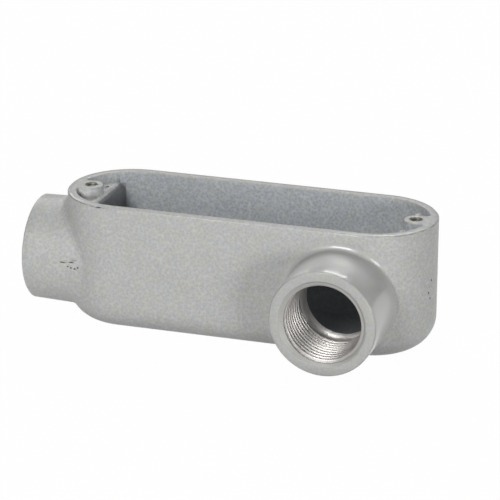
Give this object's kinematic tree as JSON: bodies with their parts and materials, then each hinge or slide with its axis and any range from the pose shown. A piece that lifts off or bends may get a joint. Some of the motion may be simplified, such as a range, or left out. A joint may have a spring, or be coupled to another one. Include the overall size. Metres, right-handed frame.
{
  "type": "conduit body",
  "caption": "Right-hand elbow conduit body: long open trough with round ends, one threaded hub on its end and one on its side, and lugs for cover screws.",
  "frame": {"origin": "centre of the flat back, under the middle of the trough", "axes": "+X along the trough, away from the run hub; -Y the way the side hub points; +Z out of the open side, square to the cover seat"},
  "size_m": [0.1305, 0.0586, 0.0418],
  "materials": {
    "casting": "cast aluminium with a grey baked enamel, lightly hammered"
  },
  "bodies": {
    "root": {"conduit_body": "casting"}
  },
  "joints": []
}
